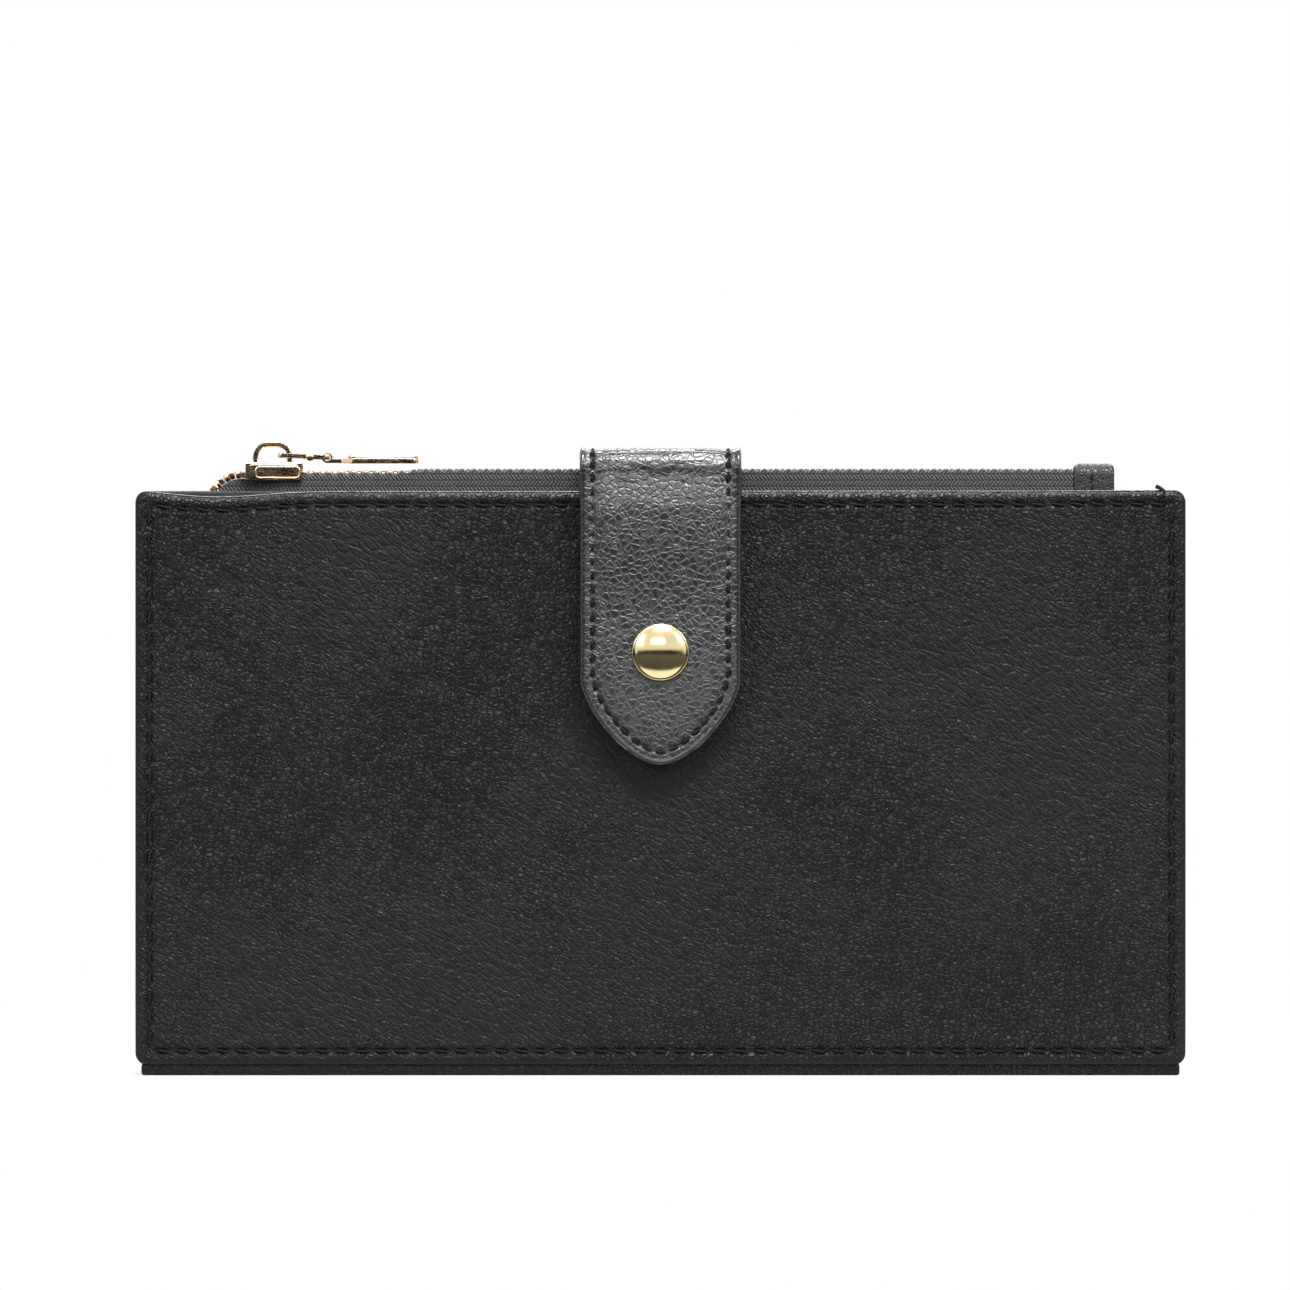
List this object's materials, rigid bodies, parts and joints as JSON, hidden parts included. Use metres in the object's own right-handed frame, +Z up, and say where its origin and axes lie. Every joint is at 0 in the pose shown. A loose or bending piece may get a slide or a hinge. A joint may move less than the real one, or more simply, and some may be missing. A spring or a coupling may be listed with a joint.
{
  "type": "long wallet",
  "caption": "Long two-fold wallet with a snap strap over the top, a zipped coin pocket along the top edge and card slots inside.",
  "frame": {"origin": "centre of the flat underside of the spine, on which the closed wallet stands", "axes": "+X to the wallet's right seen from the front, along its long edge; +Y from the front cover to the back cover; +Z up, from the spine to the zip"},
  "size_m": [0.19, 0.0278, 0.1148],
  "materials": {
    "grain_leather": "near-black pebbled cowhide with a soft satin finish",
    "slot_leather": "thin smooth black leather",
    "lining_cloth": "black woven nylon lining",
    "stiffener_board": "grey-brown bonded fibre board",
    "zip_tape": "black herringbone polyester tape",
    "gold_metal": "polished pale gold plating"
  },
  "bodies": {
    "spine": {"spine_leather": "grain_leather", "spine_lining": "lining_cloth"},
    "front_half": {"front_cover_leather": "grain_leather", "front_cover_board": "stiffener_board", "front_cover_lining": "lining_cloth", "bill_pocket_wall": "slot_leather", "front_card_slot_1": "slot_leather", "front_card_slot_2": "slot_leather", "front_card_slot_3": "slot_leather", "front_card_slot_4": "slot_leather", "snap_stud": "gold_metal", "snap_stud_rivet": "gold_metal"},
    "rear_half": {"back_cover_leather": "grain_leather", "back_cover_board": "stiffener_board", "rear_card_slot_1": "slot_leather", "rear_card_slot_2": "slot_leather", "rear_card_slot_3": "slot_leather", "coin_pocket_wall": "slot_leather", "coin_lining_front": "lining_cloth", "coin_lining_rear": "lining_cloth", "coin_pocket_base": "lining_cloth", "coin_gusset_left": "lining_cloth", "coin_gusset_right": "lining_cloth", "zip_tape_front": "zip_tape", "zip_tape_rear": "zip_tape", "zip_teeth_front": "gold_metal", "zip_teeth_rear": "gold_metal", "zip_top_stop_front": "gold_metal", "zip_top_stop_rear": "gold_metal", "zip_bottom_stop": "gold_metal", "zip_end_tab": "grain_leather", "strap_tail_leather": "grain_leather", "strap_tail_lining": "slot_leather"},
    "strap_top": {"strap_top_leather": "grain_leather", "strap_top_lining": "slot_leather"},
    "strap_flap": {"strap_flap_leather": "grain_leather", "strap_flap_lining": "slot_leather", "snap_cap": "gold_metal", "snap_socket": "gold_metal"},
    "zip_slider": {"zip_slider": "gold_metal"},
    "zip_pull_link": {"zip_pull_link": "gold_metal"},
    "zip_pull_tab": {"zip_pull_tab": "gold_metal"}
  },
  "joints": [
    {"name": "front_half_fold", "type": "hinge", "parent": "spine", "child": "front_half", "pos_m": [0, -0.01, 0.0022], "axis": [1, 0, 0], "range_deg": [0, 90]},
    {"name": "rear_half_fold", "type": "hinge", "parent": "spine", "child": "rear_half", "pos_m": [0, 0.01, 0.0022], "axis": [-1, 0, 0], "range_deg": [0, 90]},
    {"name": "strap_lift", "type": "hinge", "parent": "rear_half", "child": "strap_top", "pos_m": [0, 0.0087, 0.1098], "axis": [-1, 0, 0], "range_deg": [0, 90], "deforming": ["strap_top_leather", "strap_top_lining"]},
    {"name": "strap_unfold", "type": "hinge", "parent": "strap_top", "child": "strap_flap", "pos_m": [0, -0.0101, 0.1098], "axis": [-1, 0, 0], "range_deg": [0, 90]},
    {"name": "zip_slide", "type": "slide", "parent": "rear_half", "child": "zip_slider", "axis": [1, 0, 0], "range_m": [0, 0.139], "deforming": ["zip_teeth_front", "zip_teeth_rear"]},
    {"name": "pull_link_swing", "type": "hinge", "parent": "zip_slider", "child": "zip_pull_link", "pos_m": [-0.0691, 0.0051, 0.1124], "axis": [0, -1, 0], "range_deg": [0, 110]},
    {"name": "pull_tab_swing", "type": "hinge", "parent": "zip_pull_link", "child": "zip_pull_tab", "pos_m": [-0.0606, 0.0051, 0.112], "axis": [0, -1, 0], "range_deg": [0, 70]}
  ]
}
